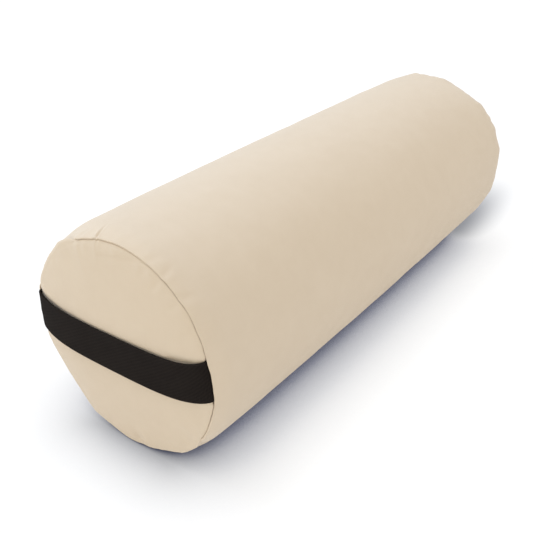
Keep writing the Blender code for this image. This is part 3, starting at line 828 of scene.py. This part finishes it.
def sweep(bm, path, half, sides=6, up=Vector((0, 0, 1))):
    # a bar along the path, whose half width and half height are half[0] and half[1]
    rings = []
    for i, point in enumerate(path):
        heading = path[min(i + 1, len(path) - 1)] - path[max(i - 1, 0)]
        across = heading.cross(up).normalized()
        over = across.cross(heading).normalized()
        rings.append([bm.verts.new(point + across * half[0] * cos(2 * pi * k / sides)
                                   + over * half[1] * sin(2 * pi * k / sides)) for k in range(sides)])
    for one, other in zip(rings, rings[1:]):
        for k in range(sides):
            bm.faces.new((one[k], one[k - 1], other[k - 1], other[k]))
    bm.faces.new(rings[0])
    bm.faces.new(reversed(rings[-1]))


def stitch(bm, one, other, out, radius, arch):
    # a stitch from one hole to the other, whose ends dive into the cloth
    path = [one.lerp(other, share) + out * (arch * (1 - (2 * share - 1) ** 4) - radius * 1.2)
            for share in (0, 0.1, 0.3, 0.5, 0.7, 0.9, 1)]
    sweep(bm, path, (radius, radius), 6, out)


def topstitches():                        # round the slot, on the cover
    bm = bmesh.new()
    x, y = bolster["slotHalfLength"] + topstitch["inset"], bolster["slotHalfWidth"] + topstitch["inset"]
    holes = [(-x, y), (x, y), (x, -y), (-x, -y), (-x, y)]
    for (fromX, fromY), (toX, toY) in zip(holes, holes[1:]):
        count = max(2, round(hypot(toX - fromX, toY - fromY) / topstitch["pitch"]))
        for i in range(count):
            ends = []
            for share in (i, i + topstitch["length"] / topstitch["pitch"]):
                along, across = fromX + (toX - fromX) * share / count, fromY + (toY - fromY) * share / count
                ends.append(skinPoint(along, zipAngle - across / bolster["radius"], -topstitch["sink"]))
            stitch(bm, *ends, zipPlace.to_3x3().col[2], topstitch["radius"], topstitch["arch"])
    dress(piece("zipTopstitches", bm), thread, "canvas")


seamStitch = {
    "pitch": 0.0030,
    "radius": 0.00018,
    "arch": 0.0001,
    "depth": 0.00088,          # behind the seam's plane
    "holes": (0.0005, -0.0006),           # outside the seam's lip, in the wall, and inside it, in the end
    "slant": 0.006,            # radians round the seam from one hole to the other
}


def seamStitches(side):                   # deep in the seam between the wall and an end
    bm = bmesh.new()
    count = round(2 * pi * seamLip / seamStitch["pitch"])
    for i in range(count):
        angle = 2 * pi * (i + 0.3 * noise.noise(Vector((i, side, 0)))) / count
        radius = seamLip + pucker(side, 0.0, angle)
        x = side * (halfLength - seamStitch["depth"] - rollOver["back"] * rolledOver(side, angle))
        inWall = settled(x, radius + seamStitch["holes"][0], angle)
        inEnd = settled(x, radius + seamStitch["holes"][1], angle + seamStitch["slant"])
        stitch(bm, inWall, inEnd, Vector((side, 0, 0)), seamStitch["radius"], seamStitch["arch"])
    dress(piece(endName[side] + "SeamStitches", bm), thread, "canvas")


# Zip

zipLook = {
    "tapeHalfLength": 0.254,
    "tapeInner": 0.0008,
    "tapeWidth": 0.0142,
    "tapeThickness": 0.0005,
    "tapeFace": -0.0011,       # heights are over the wall's skin at the zip
    "tapeSlope": 0.0723,
    "coilHalfLength": 0.2506,
    "pitch": 0.0016,
    "wire": 0.00029,
    "coilReach": (-0.00035, 0.0031),
    "coilHeight": 0.00046,
    "coilSteps": 14,           # round one turn
    "threadAt": (0.0013, 0.0024),
    "threadHalfLength": 0.0006,
    "threadRadius": 0.00011,
    "tabLength": 0.018,
    "sliderAt": -0.2453,
    "plateFoot": 0.0011,       # the upper plate's underside
    "plateTop": 0.0021,
    "lowerPlate": (-0.00333, -0.00233),
    "plateEdge": 0.00028,      # radius of the plates' edges
    "bridgeInside": 0.0041,
    "bridgeHalf": (0.0008, 0.00043),
    "bridgeBend": 0.0007,
    "pullAxis": 0.0031,
    "pullDroop": radians(2.388),
    "pullLength": 0.0240,
    "pullHalf": 0.0005,        # of its thickness
    "pullEdge": 0.00022,
    "ribs": (0.0078, 0.0096, 0.0114, 0.0132),    # to grip it by
}
rowName = {1: "lower", -1: "upper"}


def inZip(bm, place=Matrix.Identity(4)):  # from the zip's axes, where x runs along it and y down the wall
    bmesh.ops.transform(bm, matrix=zipPlace @ place, verts=bm.verts)
    return bm


def zipTape(sign):
    z = zipLook
    rows = spaced(-z["tapeHalfLength"], z["tapeHalfLength"], 0.004)
    inner, outer = z["tapeInner"], z["tapeInner"] + z["tapeWidth"]
    top = spaced(inner, outer, 0.0014)
    columns = [(y, 0.0) for y in top] + [(y, -z["tapeThickness"]) for y in reversed(top)] + [(inner, 0.0)]

    def place(x, column):
        y, under = column
        sag = z["tapeSlope"] * y + 0.0001 * noise.noise(Vector((90 * x, 60 * y, sign))) * (y > 0.006)
        return zipPlace @ Vector((x, sign * y, z["tapeFace"] + under - sag))

    name = "zipTape" + rowName[sign].title()
    made = grid(name, rows, columns, place, lambda x, column: (column[0], x), True)
    dress(made, tapeCloth, "zip_tape", "zip_tape_" + rowName[sign])


def zipCoil(sign):
    # one nylon coil, flattened, whose heads lock between the other coil's
    z, bm, path = zipLook, bmesh.new(), []
    inner, outer = z["coilReach"]
    turns, perTurn = int(2 * z["coilHalfLength"] / z["pitch"]) - 1, z["coilSteps"]
    start = -z["coilHalfLength"] + 0.0004 + z["pitch"] * (0.5 if sign > 0 else 0)
    for step in range(turns * perTurn + 1):
        turn = 2 * pi * step / perTurn
        y = (inner + outer) / 2 - (outer - inner) / 2 * cos(turn)
        lift = z["coilHeight"] * sin(turn) * (1 + 0.12 * cos(turn))
        path.append(Vector((start + z["pitch"] * step / perTurn, sign * y, lift - z["tapeSlope"] * abs(y))))
    sweep(bm, path, (z["wire"], z["wire"]), 7, Vector((1, 0, 0)))
    for i in range(turns):                # thread that holds each turn to the tape
        x, half = start + z["pitch"] * (i + 0.25), z["threadHalfLength"]
        for y in z["threadAt"]:
            lift = z["coilHeight"] + z["wire"] - z["tapeSlope"] * y - 0.00005
            ends = [Vector((x + reach, sign * (y + reach * 0.12), lift)) for reach in (-half, half)]
            stitch(bm, *ends, Vector((0, 0, 1)), z["threadRadius"], 0.00009)
    made = piece("zipCoil" + rowName[sign].title(), inZip(bm))
    dress(made, coilNylon, "zip_teeth", "zip_teeth_" + rowName[sign])


def zipEndTab(side):
    # canvas over the tapes' ends, with its front edge folded under
    z, thick = zipLook, zipLook["tapeThickness"]
    start, reach = z["tapeHalfLength"] + 0.0003, z["tapeInner"] + z["tapeWidth"]
    profile = [(start + 0.006, -2 * thick), (start + 0.0004, -2 * thick)]
    for turn in range(1, 6):
        profile.append((start + thick * (1 - sin(turn * pi / 6)), -thick - thick * cos(turn * pi / 6)))
    profile += [(x, 0.0) for x in spaced(start + thick, start + z["tabLength"], 0.0015)]

    def place(row, y):
        x, lift = row
        lift += 0.00012 * noise.noise(Vector((200 * x, 220 * y, side)))
        return zipPlace @ Vector((side * x, y, z["tapeFace"] + 0.0003 + lift - z["tapeSlope"] * abs(y)))

    name, across = endName[side], spaced(-reach, reach, 0.0014)
    made = grid(name + "ZipTab", profile, across, place, lambda row, y: (row[0], y))
    dress(made, canvas, "canvas", f"zip_{name}_tab")


def plate(name, outlines, low, high, edge):
    # a flat stamping: the first outline is its rim and the others are holes
    curve = bpy.data.curves.new(name, "CURVE")
    curve.dimensions, curve.fill_mode = "2D", "BOTH"
    for outline in outlines:
        line = curve.splines.new("POLY")
        line.points.add(len(outline) - 1)
        for point, (x, y) in zip(line.points, outline):
            point.co = (x, y, 0, 1)
        line.use_cyclic_u = True
    curve.extrude, curve.bevel_depth, curve.bevel_resolution = (high - low) / 2 - edge, edge, 2
    curve.offset = -edge
    flat = linked(name, curve)
    bm = bmesh.new()
    bm.from_mesh(flat.evaluated_get(bpy.context.evaluated_depsgraph_get()).to_mesh())
    bpy.data.objects.remove(flat)
    bmesh.ops.remove_doubles(bm, verts=bm.verts, dist=0.000001)
    bmesh.ops.translate(bm, verts=bm.verts, vec=(0, 0, (low + high) / 2))
    return bm


def add(bm, other):                       # everything in other too
    mesh = bpy.data.meshes.new("joined")
    other.to_mesh(mesh)
    other.free()
    bm.from_mesh(mesh)
    bpy.data.meshes.remove(mesh)


def inMetal(name, bm, place, body, node):
    made = piece(name, inZip(bm, place))
    made.data.set_sharp_from_angle(angle=radians(50))     # flat faces stay flat beside rounded edges
    made.modifiers.new("weighted normals", "WEIGHTED_NORMAL").keep_sharp = True
    dress(made, metal, "zip_metal", node, body=body)


def mirrored(side):                       # a closed outline from its half with y above 0
    return side + [(x, -y) for x, y in reversed(side)]


def arcPoints(x, radius, last, count):    # about (x, 0), down to the axis from this angle in degrees
    turns = [radians(last * (1 - i / count)) for i in range(count + 1)]
    return [(x + radius * cos(turn), radius * sin(turn)) for turn in turns]


def zipSlider():
    z, edge = zipLook, zipLook["plateEdge"]
    shape = [(-5.5, 1.6), (-5.35, 2.9), (-4.95, 3.8), (-4.3, 4.35), (-3.4, 4.55), (-2.0, 4.6), (-0.4, 4.52),
             (1.2, 4.36), (2.8, 4.26), (4.2, 4.2), (4.9, 4.0), (5.35, 3.5), (5.5, 2.7)]     # in millimetres
    side = [(x * 0.001, y * 0.001) for x, y in shape]
    bm = plate("sliderUpper", [mirrored(side)], z["plateFoot"], z["plateTop"], edge)
    for point in bm.verts:                # its face is a little crowned
        if point.co.z > z["plateTop"] - 0.0001:
            point.co.z += 0.00006
    smaller = [(x * 0.985, y * 0.94) for x, y in side]
    add(bm, plate("sliderLower", [mirrored(smaller)], *z["lowerPlate"], edge))
    for sign in (1, -1):
        rail = [(x, y) for x, y in side if -0.0044 < x < 0.0045]
        rail += [(x, y - 0.0007 + 0.00028 * (x > 0.001)) for x, y in reversed(rail)]
        add(bm, plate("sliderRail", [[(x, sign * y) for x, y in rail]], z["tapeFace"] - 0.00003,
                      z["plateFoot"] + 0.0005, 0.00015))
    bend, turns = z["bridgeBend"], (0.3, 0.8, 1.25)
    top = z["bridgeInside"] + 0.00045
    foot = [(-0.0031, z["plateTop"] - 0.0003), (-0.00305, z["plateTop"] + 0.0009)]
    arch = foot + [(-0.00235 - bend * cos(turn), top - bend + bend * sin(turn)) for turn in turns]
    arch += [(x, top) for x in (-0.0018, -0.0006, 0.0006, 0.0018)]
    arch += [(0.00235 + bend * sin(turn), top - bend + bend * cos(turn)) for turn in turns]
    arch += [(-x, height) for x, height in reversed(foot)]
    sweep(bm, [Vector((x, 0, height)) for x, height in arch], z["bridgeHalf"], 14, Vector((0.001, 0, 1)))
    inMetal("zipSlider", bm, Matrix.Translation((z["sliderAt"], 0, 0)), "slider", "zip_slider")


def zipPull():
    z, length = zipLook, zipLook["pullLength"]
    rim = [(-0.0005, 0.0028), (0.0035, 0.0028), (0.007, 0.0026), (0.011, 0.0024), (0.015, 0.00245)]
    rim += arcPoints(length - 0.0030, 0.0030, 62, 9)
    eye = [(0.0009, 0.0015), (0.0043, 0.0015), (0.0047, 0.0011), (0.0048, 0.0005)]
    hole = arcPoints(length - 0.0032, 0.0011, 90, 6)
    hole = [(2 * length - 0.0090 - x, y) for x, y in reversed(hole)] + hole
    outlines = [mirrored(rim), mirrored(eye), mirrored(hole)]
    bm = plate("pull", outlines, -z["pullHalf"], z["pullHalf"], z["pullEdge"])
    for x in z["ribs"]:
        rib = [Vector((x, y, 0.00048)) for y in (-0.0017, -0.0008, 0.0008, 0.0017)]
        sweep(bm, rib, (0.00032, 0.00022), 8)
    sweep(bm, [Vector((0, y, 0)) for y in (-0.0027, -0.0016, 0.0016, 0.0027)], (0.0006, 0.0006), 16)
    turn = Matrix.Translation((z["sliderAt"], 0, z["pullAxis"])) @ Matrix.Rotation(z["pullDroop"], 4, "Y")
    inMetal("zipPull", bm, turn, "pull", "zip_pull")


topstitches()
for side in (-1, 1):
    seamStitches(side)
    zipEndTab(side)
    zipTape(side)
    zipCoil(side)
zipSlider()
zipPull()
for name in ("zip_top_stop_lower", "zip_top_stop_upper", "zip_bottom_stop"):
    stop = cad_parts[name]
    stop.data.materials.clear()
    stop.data.materials.append(metal)
print("sewing and zip made")


# Inner case and filling

filling = {
    "caseDepth": 0.0011,       # under the cover's skin
    "caseNeck": 0.1018,
    "neckEnd": 0.017,          # from each end seam
    "shoulder": 0.0105,
    "caseEnd": (0.0012, 0.1010, 0.0012),     # how far behind the cover's end, its radius, its rim
    "round": (0.0022, 0.1000, 0.0245),       # the same of a cut round of batting
    "battingDepth": 0.0020,
    "rollEnd": 0.2767,
    "turns": 8,
    "heart": 0.0020,
    "tail": 0.0012,
    "gap": 0.0003,
    "recess": 0.00283,         # where it gives way to the zip's slider
    "recessWidth": 1.9 * facet,
}


def givenWay(angle):
    share = apart(angle, zipAngle) / filling["recessWidth"]
    return filling["recess"] * max(0.0, 1 - share ** 2) ** 2


def innerPoint(x, angle, depth):          # this deep under the wall's skin, and clear of the floor
    gather = min(0.0, pucker(1 if x > 0 else -1, halfLength - abs(x), angle))
    point = settled(x, wallRadius(x) - depth - givenWay(angle) + gather + crownTaken(x, angle), angle)
    return Vector((x, point.y, max(point.z, depth)))


def caseTube():
    f = filling
    full = f["neckEnd"] + f["shoulder"]
    half = [("wall", x, 0) for x in spaced(0, halfLength - full, 0.006)]
    half += [("neck", f["neckEnd"] + f["shoulder"] * (1 - turn / 8), turn / 8) for turn in range(1, 9)]
    half += [("neck", x, 1.0) for x in spaced(f["neckEnd"], 0.0022, 0.002)[1:]]
    rows = [(-1, *row) for row in reversed(half[1:])] + [(1, *row) for row in half]

    def place(row, angle):
        side, kind, value, turned = row
        if kind == "wall":
            return innerPoint(side * value, angle, f["caseDepth"])
        x = halfLength - value
        outer = innerPoint(side * min(x, halfLength - full), angle, f["caseDepth"])
        share = (1 - cos(turned * pi)) / 2
        gather = min(0.0, 0.0007 * sin(38 * angle + 2 * side) * share * (value > 0.006))
        radius = f["caseNeck"] - 0.0006 + gather + min(0.0, pucker(side, 0.0, angle))
        lerped = outer.lerp(settled(side * x, radius, angle), share)
        return Vector((side * x, lerped.y, max(lerped.z, f["caseDepth"])))

    def inMetres(row, angle):
        side, kind, value, _ = row
        return angle * 0.11, side * (value if kind == "wall" else halfLength - value)

    made = grid("caseTube", rows, [2 * pi * i / 180 for i in range(181)], place, inMetres, closed=True)
    dress(made, caseCotton, "case_cotton", "case_tube")


def domedRound(name, side, behind, rimRadius, rimLength, closedBack):
    # a round this far behind the end panel, with a rim of this length turned inwards
    face = seamLip - 0.0008
    rows = [("dome", rimRadius * (i / 22) ** 0.9) for i in range(23)]
    rows += [("rim", x) for x in spaced(0.0004, rimLength, 0.002)]
    if closedBack:
        rows += [("back", rimRadius * share) for share in (0.97, 0.9, 0.6, 0.3, 0.0)]

    def place(row, angle):
        kind, value = row
        dent = min(0.0, pucker(side, 0.0, angle)) * 0.9
        if kind == "rim":
            return settled(side * (halfLength - behind - value), rimRadius + dent, angle)
        out = -rimLength
        if kind == "dome":
            out = swell(side, value, angle, min(value / face, 1), face - value, 0)
        return settled(side * (halfLength + out - behind), value + dent * (value / rimRadius) ** 4, angle)

    def inMetres(row, angle):
        return row[1] * cos(angle), row[1] * sin(angle)

    return grid(name, rows, [2 * pi * i / 120 for i in range(121)], place, inMetres, closed=True)


def battingRoll():
    # a length of batting rolled up round its heart, with the last turn's end at the zip
    f, perTurn = filling, 60
    outside = bolster["radius"] - f["battingDepth"]
    pitch = (outside - f["heart"] - f["tail"]) / f["turns"]
    rows = range(f["turns"] * perTurn + 1)
    along = spaced(-f["rollEnd"], f["rollEnd"], 0.018)
    section = [("inner", x) for x in along] + [("outer", x) for x in reversed(along)] + [("inner", along[0])]

    def place(row, column):
        turned, (layer, x) = row / perTurn, column
        radius = f["heart"] + pitch * turned
        angle = zipAngle + 2 * pi * turned
        if layer == "outer":
            radius = min(radius + pitch - f["gap"], outside)
        share = radius / outside
        tuft = noise.noise(Vector((30 * x, 5 * cos(angle) * share, 5 * sin(angle) * share))) * (share < 0.98)
        rim = innerPoint(x, angle, f["battingDepth"])
        return Vector((x, 0, axisHeight)).lerp(rim, share - 0.00018 * abs(tuft) / outside)

    made = grid("battingRoll", rows, section, place, lambda row, column: (row * 0.01, column[1]), closed=True)
    capped = bmesh.new()
    capped.from_mesh(made.data)
    bmesh.ops.holes_fill(capped, edges=[edge for edge in capped.edges if edge.is_boundary], sides=0)
    capped.to_mesh(made.data)
    capped.free()
    return dress(made, batting, "batting", "batting_roll")


def filledEnd(side):
    name = endName[side]
    made = domedRound(f"case{name.title()}End", side, *filling["caseEnd"], False)
    dress(made, caseCotton, "case_cotton", f"case_{name}_end")
    made = domedRound(name + "BattingRound", side, *filling["round"], True)
    dress(made, batting, "batting", f"batting_{name}_round")


caseTube()
battingRoll()
filledEnd(-1)
filledEnd(1)
print("case and filling made")


# Camera, floor and light

view = {
    "from": (-0.6501, -0.4103, 0.4926),
    "at": (0, 0.0654, 0.0302),
    "lens": 49.50,
    "roll": radians(0.21),
}
cameraData = bpy.data.cameras.new("camera")
cameraData.lens, cameraData.sensor_width = view["lens"], 36
camera = linked("camera", cameraData)
look = (Vector(view["at"]) - Vector(view["from"])).to_track_quat("-Z", "Y").to_matrix().to_4x4()
camera.matrix_world = Matrix.Translation(view["from"]) @ look @ Matrix.Rotation(view["roll"], 4, "Z")
bpy.context.scene.camera = camera

studio = {
    "floorSize": 12,
    "floorColour": (0.90, 0.90, 0.90),
    "floorLit": 0.16,          # shares of the floor's look, seen directly, that its light and its own white give, both times the painted shadow
    "floorWhite": 0.80,
    "sky": (1.0, 0.985, 0.955),
    "skyStrength": 0.72,
    "farShade": [(0, (0.17, 0.18, 0.215, 1)), (1, (1.13, 1.13, 1.13, 1))],     # the floor's painted shadow, beyond +X
}
shadeByOpenness = [            # painted shadow of the floor, by its openness, from under the bolster out to the open
    (0.20, (0.08, 0.088, 0.135, 1)), (0.243, (0.15, 0.162, 0.225, 1)), (0.265, (0.255, 0.262, 0.325, 1)),
    (0.30, (0.395, 0.405, 0.46, 1)), (0.348, (0.53, 0.535, 0.575, 1)), (0.42, (0.63, 0.637, 0.672, 1)),
    (0.505, (0.745, 0.752, 0.78, 1)), (0.60, (0.88, 0.882, 0.90, 1)), (0.68, (0.945, 0.946, 0.955, 1)),
    (0.78, (1.005, 1.005, 1.01, 1)), (1.0, (1.09, 1.09, 1.09, 1)),
]
shadeBeyondEnds = {            # painted shadows beyond the ends: metres along the floor over which each fades, and to either side
    -1: {"strength": 0.33, "along": 0.025, "power": 1.0, "halfWidth": 0.048, "spread": 0.026, "start": 0.10},
    1: {"strength": 0.88, "along": 0.162, "power": 2.6, "halfWidth": 0.050, "spread": 0.045, "start": 0.12},
}


def seenDirectly(wire):                   # by the camera, or in metal or glass
    path = wire.node("LightPath")
    outputs = path.socket.node.outputs
    seen = path + Wire(wire.tree, outputs["Is Glossy Ray"]) + Wire(wire.tree, outputs["Is Transmission Ray"])
    return seen.math("MINIMUM", 1.0)


def shadeBeyond(place, side):             # share of light taken out of the floor beyond an end, as a painted shadow
    look = shadeBeyondEnds[side]
    x = side * place.part(0) - halfLength
    past = x.math("MAXIMUM", 0) / look["along"]
    aside = (place.part(1).math("ABSOLUTE") - look["halfWidth"]).math("SMOOTH_MAX", 0, 0.02) / look["spread"]
    faded = 0 - (past * past + aside * aside) ** (look["power"] / 2)
    start = x.node("MapRange", {"interpolation_type": "SMOOTHSTEP"},
                   {"Value": x, "From Min": -look["start"], "From Max": 0.0})
    return look["strength"] * start * faded.math("EXPONENT")


def floorFinish():
    finish, wire, place = startFinish("floorWhite", studio["floorColour"], Roughness=1.0,
                                      Specular_IOR_Level=0.0, Emission_Strength=1.0)
    # the floor seen directly takes a painted shadow: from ambient occlusion, and beyond the ends from the
    # place on the floor
    openness = wire.node("AmbientOcclusion", {"samples": 24}, {"Distance": 0.08}, 1)
    shade = openness.node("ValToRGB", {"stops": shadeByOpenness}, {0: openness})
    kept = 1 - shadeBeyond(place, -1)
    shade = shade.node("VectorMath", {"operation": "SCALE"}, {0: shade, "Scale": kept})
    kept = 1 - shadeBeyond(place, 1)
    beyond = kept.node("ValToRGB", {"stops": studio["farShade"]}, {0: kept})
    shade = shade.node("VectorMath", {"operation": "MINIMUM"}, {0: shade, 1: beyond})
    seen = seenDirectly(wire)
    lit, white = ([studio[share]] * 3 for share in ("floorLit", "floorWhite"))
    return feed(finish, Base_Color=seen.mix(studio["floorColour"], shade.scaled(*lit)),
                Emission_Color=seen.mix((0, 0, 0), shade.scaled(*white)))


bm = bmesh.new()
bmesh.ops.create_grid(bm, x_segments=8, y_segments=8, size=studio["floorSize"] / 2)
floor = piece("floor", bm)
floor.data.materials.append(floorFinish())

world = bpy.data.worlds.new("studio")
bpy.context.scene.world = world
world.use_nodes = True
sky = tuple(share * studio["skyStrength"] for share in studio["sky"])
behind = seenDirectly(Wire(world.node_tree)).mix(sky, (1, 1, 1))
world.node_tree.links.new(behind.socket, world.node_tree.nodes["Background"].inputs["Color"])

lamps = {
    "highBehind": {"at": (-0.3, 1.5, 1.8), "size": 1.5, "watts": 27, "colour": (0.60, 0.745, 1.0)},
    "overhead": {"at": (0, 0.2, 2.2), "size": 2.2, "watts": 11, "colour": (0.92, 0.96, 1.0)},
    "beyondEnd": {"at": (-2.0, 0.1, 0.15), "size": 0.8, "watts": 6.05, "colour": (1.0, 0.885, 0.62)},
    "front": {"at": (0.2, -2.2, 0.9), "size": 1.6, "watts": 6.2, "colour": (1.0, 0.97, 0.93)},
}
for name, lamp in lamps.items():
    data = bpy.data.lights.new(name, "AREA")
    data.shape, data.size, data.energy, data.color = "DISK", lamp["size"], lamp["watts"], lamp["colour"]
    made = linked(name, data)
    made.location = lamp["at"]
    made.rotation_euler = (Vector((0, 0, 0.1)) - Vector(lamp["at"])).to_track_quat("-Z", "Y").to_euler()
bpy.context.scene.view_settings.view_transform = "Standard"
print("studio set")
